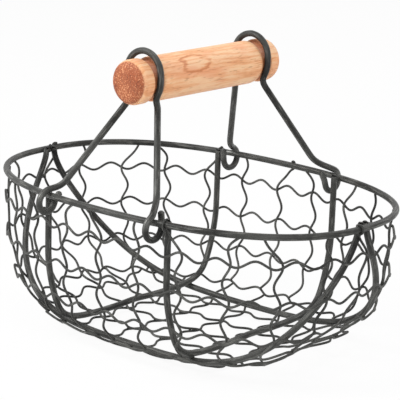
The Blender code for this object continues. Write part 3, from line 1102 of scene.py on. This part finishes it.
@dataclass
class Netting:
    """The waved netting: rings, uprights hooked over the rim, and the wires of the bottom."""

    shell: Shell
    uprights: int = 24
    first_row: float = 18.5 * MM
    lowest_row_share: float = 0.965
    rows: int = 4
    bottom_pitch_x: float = 31.0 * MM
    bottom_pitch_y: float = 27.0 * MM
    long_each_side: int = 2
    cross_each_side: int = 3
    wave_height: float = 2.7 * MM
    wave_pitch: float = 24.0 * MM
    wave_lag_share: float = 0.30
    top_lean: float = 10.5 * MM
    top_lean_shares: tuple[float, ...] = (-1, 1, -1, 0)
    hooked_over: tuple[int, ...] = (0, 6, 8, 12, 20)
    hook_start: float = math.radians(112)
    hook_end: float = math.radians(-78)
    hook_points: int = 26
    hook_slant: float = 0.5 * MM
    hook_play: float = 0.05 * MM
    rim_points: int = 2880
    lead_shares: tuple[float, ...] = (0.25, 0.5, 0.75, 0.95)
    steps: int = 16
    ring_softening: int = 2
    upright_softening: int = 3
    bottom_softening: int = 2
    sides: int = 10
    sunk: float = 0.9 * MM
    tuck: float = 1.5 * MM
    sag: float = 3.6 * MM
    sag_reach: float = 100.0 * MM
    sag_start_share: float = 0.45
    lift_start_share: float = 0.6
    thin_weld_reach: float = 1.25
    thick_weld_reach: float = 1.12
    bead: Triple = (0.85 * MM, 0.85 * MM, 0.75 * MM)
    seed: int = 23
    routes: dict[str, np.ndarray] = field(default_factory=dict)

    @property
    def lowest_row(self) -> float:
        """How far down the wall the lowest ring lies."""
        return SIZES.depth * self.lowest_row_share

    @property
    def row_pitch(self) -> float:
        """The distance between two rings."""
        return (self.lowest_row - self.first_row) / (self.rows - 1)

    def row_depth(self, row: int) -> float:
        """Gives how far down the wall a ring lies, counted from the rim."""
        return self.first_row + row * self.row_pitch

    def wave(self, turns: float) -> float:
        """Gives the sideways shift after a number of waves."""
        return self.wave_height * math.sin(2 * math.pi * turns)

    def waves(self, row: int) -> int:
        """Gives the number of waves in one ring.

        Args:
            row: The ring's row, counted from the rim.

        Returns:
            The whole number that comes closest to the waves' pitch.
        """
        girth = self.shell.girth(self.row_depth(row))
        length = float(np.linalg.norm(girth - np.roll(girth, -1, axis=0), axis=1).sum())
        return round(length / self.wave_pitch)

    def drawn_in(self, share: float, depth: float) -> float:
        """Gives how far the netting is drawn in low on the wall, most between the cross hoops."""
        x, y, _ = self.shell.point(share, depth)
        return smooth_share(depth / self.lowest_row, self.sag_start_share, 1.0) * self.low_tuck(x, y)

    def low_tuck(self, x: float, y: float) -> float:
        """Gives how far the netting is drawn in at the bottom's edge, near the plan point x, y."""
        between = max(1 - (x / self.sag_reach) ** 2, 0) if abs(y) > SIZES.hoop_half_width / 2 else 0
        return self.tuck + self.sag * between

    def ring_route(self, row: int) -> np.ndarray:
        """Gives the route of one ring.

        Args:
            row: Its row, counted from the rim.

        Returns:
            The closed route.
        """
        depth = self.row_depth(row)
        waves = self.waves(row)
        line = []
        for index in range(waves * self.steps):
            turns = index / self.steps
            layer = SIZES.outer_layer - self.drawn_in(turns / waves, depth)
            line.append(self.shell.outside(turns / waves, depth + self.wave(turns), layer))
        return rounded(np.array(line), self.ring_softening, True)

    def upright_route(self, number: int) -> np.ndarray:
        """Gives the route of one upright.

        Args:
            number: Its number round the basket.

        Returns:
            The route from the rim down to the lowest ring's wave.
        """
        top = SIZES.frame_radius - self.sunk
        lowest = self.rows - 1
        foot = number / self.uprights - self.wave(lowest - self.wave_lag_share) / self.shell.rims[-1]
        bottom = self.lowest_row + self.wave(foot * self.waves(lowest)) + SIZES.gap
        count = round((bottom - top) / self.wave_pitch * self.steps)
        lean = self.top_lean * self.top_lean_shares[number % len(self.top_lean_shares)]
        line = []
        for index in range(count + 1):
            depth = top + (bottom - top) * index / count
            above = max(1 - depth / self.first_row, 0)
            sway = lean * above * above
            sway -= self.wave((depth - self.first_row) / self.row_pitch - self.wave_lag_share)
            share = number / self.uprights + sway / self.shell.rims[-1]
            layer = SIZES.inner_layer - self.drawn_in(share, depth)
            line.append(self.shell.outside(share, depth, layer))
        if number in self.hooked_over:
            line[:1] = self.hook_bend(line[0])
        return rounded(np.array(line), self.upright_softening)

    def hook_bend(self, top: np.ndarray) -> list[np.ndarray]:
        """Bends an upright's top round the outside of the rim and over it.

        Args:
            top: The upright's unbent top.

        Returns:
            The bend's points from its end to where the upright goes on.
        """
        rim = rim_line(self.rim_points)
        nearest = int(np.argmin(np.linalg.norm(rim[:, :2] - top[:2], axis=1)))
        middle = rim[nearest]
        along = rim[(nearest + 1) % len(rim)] - rim[nearest - 1]
        along /= np.linalg.norm(along)
        out = np.cross(along, (0, 0, 1.0))
        out *= 1 if out @ middle > 0 else -1
        reach = SIZES.frame_radius + SIZES.netting_radius + self.hook_play
        bend = []
        for angle in np.linspace(self.hook_start, self.hook_end, self.hook_points):
            bend.append(middle + (out * math.cos(angle) + np.array((0, 0, math.sin(angle)))) * reach
                        + along * (self.hook_slant * math.cos(angle)))
        return bend

    def bottom_reach(self, fixed: float, along_x: bool) -> float:
        """Gives how far a straight bottom wire runs before the lowest ring.

        Args:
            fixed: How far aside of the middle it runs.
            along_x: Whether it runs along the basket.

        Returns:
            The distance from the middle.
        """
        outline = self.shell.girth(self.lowest_row)
        across, far = (1, 0) if along_x else (0, 1)
        best = 0.0
        for first, second in zip(outline, np.roll(outline, -1, axis=0)):
            start, end = first[across], second[across]
            if (start - fixed) * (end - fixed) <= 0 and start != end:
                share = (fixed - start) / (end - start)
                best = max(best, first[far] + (second[far] - first[far]) * share)
        return best

    def bottom_route(self, number: int, along_x: bool) -> np.ndarray:
        """Gives the route of one wire of the bottom.

        Args:
            number: Its number, counted from the middle.
            along_x: Whether it runs along the basket.

        Returns:
            The route, with both ends on the lowest ring.
        """
        place = number * (self.bottom_pitch_y if along_x else self.bottom_pitch_x)
        short = SIZES.gap if along_x else self.wave_height + 2 * SIZES.netting_radius + SIZES.gap
        reach = self.bottom_reach(place, along_x) - short
        count = round(2 * reach / self.wave_pitch * self.steps)
        layer = SIZES.inner_layer if along_x else SIZES.outer_layer
        line = []
        for index in range(count + 1):
            run = reach * (2 * index / count - 1)
            aside = place + self.wave(run / self.wave_pitch)
            x, y = (run, aside) if along_x else (aside, run)
            lift = self.low_tuck(x, y) * smooth_share(abs(run) / reach, self.lift_start_share, 1)
            line.append(Shell.below(x, y, layer - lift))
        return rounded(self.joined(np.array(line)), self.bottom_softening)

    def joined(self, line: np.ndarray) -> np.ndarray:
        """Leads both ends of a bottom wire on to the lowest ring.

        Args:
            line: The wire's own route.

        Returns:
            The longer route.
        """
        ring = self.routes[f"netting_ring_{self.rows}"]
        ends = []
        for end in (line[0], line[-1]):
            meet = ring[int(np.argmin(np.linalg.norm(ring - end, axis=1)))]
            ends.append([end + (meet - end) * share for share in self.lead_shares])
        return np.vstack([ends[0][::-1], line, ends[1]])

    def build(self, shop: Workshop, hoops: Mapping[str, np.ndarray]) -> None:
        """Makes the netting's wires and the small beads where they are welded.

        Args:
            shop: The workshop that makes them.
            hoops: The routes of the rim and the hoops.
        """
        for row in range(self.rows):
            self.routes[f"netting_ring_{row + 1}"] = self.ring_route(row)
        for number in range(self.uprights):
            self.routes[f"netting_upright_{number + 1:02d}"] = self.upright_route(number)
        for kind, each_side in (("long", self.long_each_side), ("cross", self.cross_each_side)):
            for number in range(-each_side, each_side + 1):
                route = self.bottom_route(number, kind == "long")
                self.routes[f"netting_{kind}_wire_{number + each_side + 1}"] = route
        for node, route in self.routes.items():
            shop.wire(Wire(node.replace("netting", "thin"), route, SIZES.netting_radius, Slot.NETTING,
                           Body.BASKET, (node,), closed="ring" in node, sides=self.sides))
        shop.beads("netting_welds", self._welds(hoops), self.seed, Slot.NETTING)

    def _welds(self, hoops: Mapping[str, np.ndarray]) -> list[Bead]:
        """Gives the beads where thin wires cross each other and the hoops.

        Args:
            hoops: The routes of the rim and the hoops.

        Returns:
            The beads.
        """
        thin = (2 * SIZES.netting_radius + SIZES.gap) * self.thin_weld_reach
        thick = SIZES.inner_layer * self.thick_weld_reach
        names = list(self.routes)
        places = []
        for index, name in enumerate(names):
            for other in names[index + 1:]:
                if not any(kind in name and kind in other for kind in ("ring", "upright")):
                    places += crossing(self.routes[other], self.routes[name], thin, self.bead)
            for hoop, route in hoops.items():
                if hoop != "rim" and "ring" not in name:
                    places += crossing(self.routes[name], route, thick, self.bead)
        return places


@dataclass(frozen=True)
class Hook:
    """What differs from hook to hook, for each was bent by hand."""

    tail: tuple[float, float]
    out: float = 0.5 * MM
    radius: float = 7.8 * MM
    shoulder_share: float = 1.0


@dataclass
class Bails:
    """The two bent bails, from their loops under the grip's grooves down to the eyes on the rim."""

    grip_radius: float = 15.0 * MM
    groove_depth: float = 2.5 * MM
    above_rim: float = 80.0 * MM
    loop_y: float = 55.5 * MM
    headroom: float = 4.6 * MM
    open_angle: float = math.radians(35.5)
    neck_radius: float = 5.0 * MM
    shoulder_z: float = 10.3 * MM
    shoulder_in: float = 10.6 * MM
    shoulder_along: float = 7.8 * MM
    seat_play: float = 0.06 * MM
    front_hooks: tuple[Hook, Hook] = (
        Hook((-9.8 * MM, 0.5 * MM), 2.6 * MM, 7.3 * MM, 0.62), Hook((-6.2 * MM, 6.6 * MM)))
    back_hooks: tuple[Hook, Hook] = (Hook((-8.2 * MM, 4.3 * MM)), Hook((-12.6 * MM, 4.6 * MM)))
    loop_steps: int = 24
    neck_steps: int = 12
    leg_steps: int = 30
    shoulder_steps: int = 8
    eye_steps: int = 40
    step: float = 1.2 * MM
    softening: int = 4
    rub_reach: float = 5.0 * MM
    rub_share: float = 0.8

    @property
    def loop_radius(self) -> float:
        """The loop's radius round the grip's groove."""
        return self.grip_radius - self.groove_depth + SIZES.gap + SIZES.frame_radius

    def foot_y(self) -> float:
        """Gives how far from the middle the bails hook over the rim."""
        return SIZES.rim_half_width * oval_reach(SIZES.hook_x / SIZES.rim_half_length)

    @staticmethod
    def arc(centre: Point, radius: float, start: float, end: float, steps: int) -> list[tuple[float, float]]:
        """Gives points of an arc in a plane, without its first point."""
        angles = [start + (end - start) * index / steps for index in range(1, steps + 1)]
        return [(centre[0] + radius * math.cos(a), centre[1] + radius * math.sin(a)) for a in angles]

    @staticmethod
    def curve(start: np.ndarray, corner: np.ndarray, end: np.ndarray, steps: int) -> list[np.ndarray]:
        """Gives a smooth bend from start to end, which the corner pulls on."""
        shares = [index / steps for index in range(1, steps + 1)]
        return [start * (1 - t) ** 2 + corner * 2 * t * (1 - t) + end * t * t for t in shares]

    def half(self, hook: Hook) -> np.ndarray:
        """Gives one half of a bail.

        Args:
            hook: The hook at its lower end.

        Returns:
            The points from the loop's top to the tail, as x, outwards and up from the rim.
        """
        crown = self.above_rim + self.headroom
        loop = [(0.0, crown + self.loop_radius)]
        loop += self.arc((0, crown), self.loop_radius, math.pi / 2, 0, self.loop_steps)
        loop += self.arc((0, self.above_rim), self.loop_radius, 0, -self.open_angle, self.neck_steps)
        span = self.loop_radius + self.neck_radius
        neck = (span * math.cos(self.open_angle), self.above_rim - span * math.sin(self.open_angle))
        fall = math.atan2(neck[1] - self.neck_radius - self.shoulder_z,
                          SIZES.hook_x - self.shoulder_along - neck[0] + self.neck_radius)
        start = math.pi - self.open_angle
        end = start + math.pi - self.open_angle - fall
        loop += self.arc(neck, self.neck_radius, start, end, self.neck_steps)
        points = [(x, self.loop_y - self.foot_y(), z) for x, z in loop]
        away = np.array((-self.shoulder_along, -self.shoulder_in, self.shoulder_z))
        shoulder = np.array((SIZES.hook_x, 0, 0)) + away * hook.shoulder_share
        leg_top = np.array(points[-1])
        leg = shoulder - leg_top
        run = 1 - self.neck_radius / np.linalg.norm(leg)
        leg_points = [leg_top + leg * run * share for share in np.linspace(0.05, 1, self.leg_steps)]
        eye = np.array([(SIZES.hook_x, out, z) for out, z in self.eye(hook)])
        bend = self.curve(leg_points[-1], shoulder, (shoulder + eye[0]) / 2, self.shoulder_steps)
        line = even_points(np.vstack([points, leg_points, bend, eye]), self.step)
        return rounded(line, self.softening)

    def eye(self, hook: Hook) -> list[tuple[float, float]]:
        """Gives the shape of a hook.

        Args:
            hook: The hook.

        Returns:
            Points as outwards and up, from where the leg rests on the rim round to the tail's end.
        """
        seat_radius = SIZES.weld_step + self.seat_play
        from_rim = math.hypot(self.shoulder_in, self.shoulder_z)
        seat = math.atan2(self.shoulder_z, -self.shoulder_in) - math.acos(seat_radius / from_rim)
        level = (seat_radius - hook.radius - hook.out * math.cos(seat)) / math.sin(seat)
        eye = [(seat_radius * math.cos(seat), seat_radius * math.sin(seat))]
        eye += self.arc((hook.out, level), hook.radius, seat, -math.pi, self.eye_steps)
        return eye + [hook.tail]

    def route(self, side: Side) -> np.ndarray:
        """Gives the whole route of one bail.

        Args:
            side: The long side that it hooks over.

        Returns:
            The route from the left hook's tail over the loop to the right hook's.
        """
        left_hook, right_hook = self.front_hooks if side is Side.FRONT else self.back_hooks
        hinge = np.array((0, side.value * self.foot_y(), SIZES.rim_z))
        right = hinge + self.half(right_hook) * np.array((1, side.value, 1))
        left = hinge + self.half(left_hook)[:0:-1] * np.array((-1, side.value, 1))
        return np.vstack([left, right])

    def build(self, shop: Workshop) -> None:
        """Makes both bails.

        Args:
            shop: The workshop that makes them.
        """
        for side, body in ((Side.FRONT, Body.BAIL_FRONT), (Side.BACK, Body.BAIL_BACK)):
            route = self.route(side)
            low = np.exp(-((route[:, 2] - SIZES.rim_z) / self.rub_reach) ** 2)
            shop.wire(Wire(f"{body.value}_wire", route, SIZES.frame_radius, Slot.FRAME, body,
                           (body.value,), rub=low * self.rub_share))


@dataclass
class Grip:
    """The turned grip with its two grooves and domed ends."""

    bails: Bails
    half_length: float = 73.0 * MM
    groove_play: float = 1.4 * MM
    groove_slope: float = 1.4 * MM
    groove_lip: float = 0.4 * MM
    dome: float = 6.0 * MM
    dome_shares: tuple[tuple[float, float], ...] = (
        (0.0, 0.0), (0.30, 0.02), (0.55, 0.08), (0.70, 0.15), (0.80, 0.24), (0.88, 0.37), (0.93, 0.52),
        (0.97, 0.72), (0.99, 0.88), (1.0, 1.0))
    around: int = 96
    wall_rings: int = 10
    groove_rings: int = 31
    middle_rings: int = 24
    # How fast the painted shade in a groove climbs with its depth.
    groove_shade_gain: float = 1.2

    @property
    def centre(self) -> Triple:
        """The middle of the grip."""
        return 0.0, 0.0, SIZES.rim_z + self.bails.above_rim

    def profile(self) -> list[Triple]:
        """Gives the outline of half the grip.

        Returns:
            Points as radius, distance from the middle and the share of groove, which sets the painted shade
            in the grooves.
        """
        radius = self.bails.grip_radius
        mouth = SIZES.frame_radius + self.groove_play + self.groove_slope
        line = [(radius * out, self.half_length - self.dome * back, 0.0) for out, back in self.dome_shares]
        start = self.half_length - self.dome
        for share in np.linspace(0.08, 0.95, self.wall_rings):
            line.append((radius, start + (self.bails.loop_y + mouth - start) * share, 0.0))
        for run in np.linspace(mouth, -mouth, self.groove_rings):
            lip = self.groove_lip
            drop = smooth_share(mouth + lip - abs(run), 0, self.groove_slope + lip)
            depth = self.bails.groove_depth * drop
            line.append((radius - depth, self.bails.loop_y + run, min(1.0, drop * self.groove_shade_gain)))
        for share in np.linspace(0.04, 1, self.middle_rings):
            line.append((radius, (self.bails.loop_y - mouth) * (1 - share), 0.0))
        return line

    def build(self, shop: Workshop) -> None:
        """Makes the grip as one closed turned mesh.

        Args:
            shop: The workshop that makes it.
        """
        half = self.profile()
        whole = half + [(radius, -along, groove) for radius, along, groove in half[-2::-1]]
        height = self.centre[2]
        points: list[Point] = []
        marks: list[float] = []
        for radius, along, groove in whole[1:-1]:
            for index in range(self.around):
                turn = 2 * math.pi * index / self.around
                points.append((radius * math.cos(turn), along, height + radius * math.sin(turn)))
                marks.append(groove)
        rows = len(whole) - 2
        pairs = [(index, (index + 1) % self.around) for index in range(self.around)]
        faces: list[tuple[int, ...]] = []
        for low in range(0, (rows - 1) * self.around, self.around):
            high = low + self.around
            faces += [(low + index, low + after, high + after, high + index) for index, after in pairs]
        for along, low, turned in ((whole[0][1], 0, True), (whole[-1][1], (rows - 1) * self.around, False)):
            pole = len(points)
            points.append((0.0, along, height))
            marks.append(0.0)
            for index, after in pairs:
                ends = (low + index, low + after)
                faces.append((pole, *(ends[::-1] if turned else ends)))
        mesh = bpy.data.meshes.new("turned_grip")
        mesh.from_pydata(points, [], faces)
        shop.write_attribute(mesh, "groove", np.array(marks))
        mesh.materials.append(shop.coats[Slot.WOOD])
        mesh.shade_smooth()
        shop.hand_over(placed(mesh.name, mesh), Body.GRIP, ("grip",))


@dataclass(frozen=True)
class Studio:
    """The plain floor, the soft lamps and the camera."""

    camera_place: Point = (0.77072794, -0.90612086, 0.40498165)
    azimuth: float = math.radians(40.17)
    elevation: float = math.radians(14.13)
    roll: float = math.radians(1.96)
    lens: float = 160.577
    sensor: float = 36.0
    shift: tuple[float, float] = (-0.004157, -0.033766)
    floor_reach: float = 4.0
    floor_tones: tuple[Colour, Colour] = ((0.90, 0.90, 0.90), (0.93, 0.93, 0.93))
    floor_white: float = 0.92
    sky: float = 0.42
    aim: Point = (0, 0, 0.08)
    lamps: tuple[tuple[str, Point, float, float], ...] = (
        ("key lamp", (-0.9, -1.3, 1.5), 1.1, 34.0),
        ("fill lamp", (1.7, -0.9, 1.1), 1.0, 11.0),
        ("back lamp", (0.4, 1.7, 1.4), 1.5, 12.0),
    )

    @staticmethod
    def seen(bench: NodeBench) -> Signal:
        """Tells what the camera sees from what only lights the scene.

        Args:
            bench: The node tree to build in.

        Returns:
            1 for what the camera sees, straight or in gloss or glass, and 0 for the rest.
        """
        path = bench.node("ShaderNodeLightPath").outputs
        seen = bench.signal(path["Is Camera Ray"]) + bench.signal(path["Is Glossy Ray"])
        return (seen + bench.signal(path["Is Transmission Ray"])).held()

    def build(self) -> None:
        """Sets the whole stage."""
        self._floor()
        self._lamps()
        self._world()
        self._camera()

    def _camera(self) -> None:
        """Sets the camera where the photograph was taken from."""
        data = bpy.data.cameras.new("camera")
        data.sensor_width = self.sensor
        data.lens = self.lens
        data.shift_x, data.shift_y = self.shift
        camera = placed("camera", data)
        az, el = self.azimuth, self.elevation
        back = Vector((math.sin(az) * math.cos(el), -math.cos(az) * math.cos(el), math.sin(el)))
        right = Vector((math.cos(az), math.sin(az), 0))
        up = back.cross(right)
        c, s = math.cos(self.roll), math.sin(self.roll)
        axes = Matrix((right * c + up * s, up * c - right * s, back)).transposed().to_4x4()
        camera.matrix_world = Matrix.Translation(Vector(self.camera_place)) @ axes
        bpy.context.scene.camera = camera

    def _floor(self) -> None:
        """Lays a plain pale floor, which shows white to the camera but keeps the shadow."""
        mesh = bpy.data.meshes.new("floor")
        corners = [(-1, -1), (1, -1), (1, 1), (-1, 1)]
        reach = self.floor_reach
        mesh.from_pydata([(x * reach, y * reach, 0) for x, y in corners], [], [(0, 1, 2, 3)])
        finish = Finish("pale floor")
        colour = finish.mix(finish.noise(Figure(0.004, 2)), *self.floor_tones)
        finish.dress(Base_Color=colour, Roughness=0.9, Specular_IOR_Level=0.1)
        white = finish.out("ShaderNodeEmission", {"Color": (1, 1, 1, 1), "Strength": 1.0})
        share = self.seen(finish) * self.floor_white
        both = finish.out("ShaderNodeMixShader", {0: share, 1: finish.shader.outputs[0], 2: white})
        finish.feed(finish.tree.nodes["Material Output"].inputs["Surface"], both)
        mesh.materials.append(finish.material)
        placed("floor", mesh)

    def _lamps(self) -> None:
        """Hangs the large soft lamps."""
        for name, place, size, power in self.lamps:
            data = bpy.data.lights.new(name, "AREA")
            data.shape = "DISK"
            data.size = size
            data.energy = power
            lamp = placed(name, data)
            lamp.location = place
            lamp.rotation_euler = (Vector(self.aim) - Vector(place)).to_track_quat("-Z", "Y").to_euler()

    def _world(self) -> None:
        """Gives soft light all round and a white background where the camera looks past the floor."""
        world = bpy.data.worlds.new("studio")
        world.use_nodes = True
        world.node_tree.nodes.clear()
        bench = NodeBench(world.node_tree)
        soft, white = (bench.out("ShaderNodeBackground", {"Color": (1, 1, 1, 1), "Strength": strength})
                       for strength in (self.sky, 1.0))
        both = bench.out("ShaderNodeMixShader", {0: self.seen(bench), 1: soft, 2: white})
        bench.node("ShaderNodeOutputWorld", {0: both})
        bpy.context.scene.world = world


def main(model: Mapping[str, Any]) -> None:
    """Dresses the basket and sets the stage.
    """
    logging.basicConfig(level=logging.INFO, format="%(name)s: %(message)s")
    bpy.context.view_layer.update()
    bpy.context.scene.view_settings.view_transform = "Standard"
    bails = Bails()
    grip = Grip(bails)
    swirl = (12.0 * MM, -18.0 * MM, grip.centre[2] + 9.0 * MM)
    shop = Workshop({
        Slot.FRAME: CoatedSteel("coated frame wire").make(),
        Slot.NETTING: CoatedSteel("coated thin wire", roughness=0.46).make(),
        Slot.WOOD: TurnedBeech("turned beech", grip.centre, grip.half_length, swirl).make(),
    })
    frame_wires = RimAndHoops()
    frame_wires.build(shop)
    Netting(Shell()).build(shop, frame_wires.routes)
    bails.build(shop)
    grip.build(shop)
    Studio().build()
    LOG.info("%d pieces dressed over %d solids", len(shop.made), len(model["nodes"]))


if __name__ == "__main__":
    main(frame)
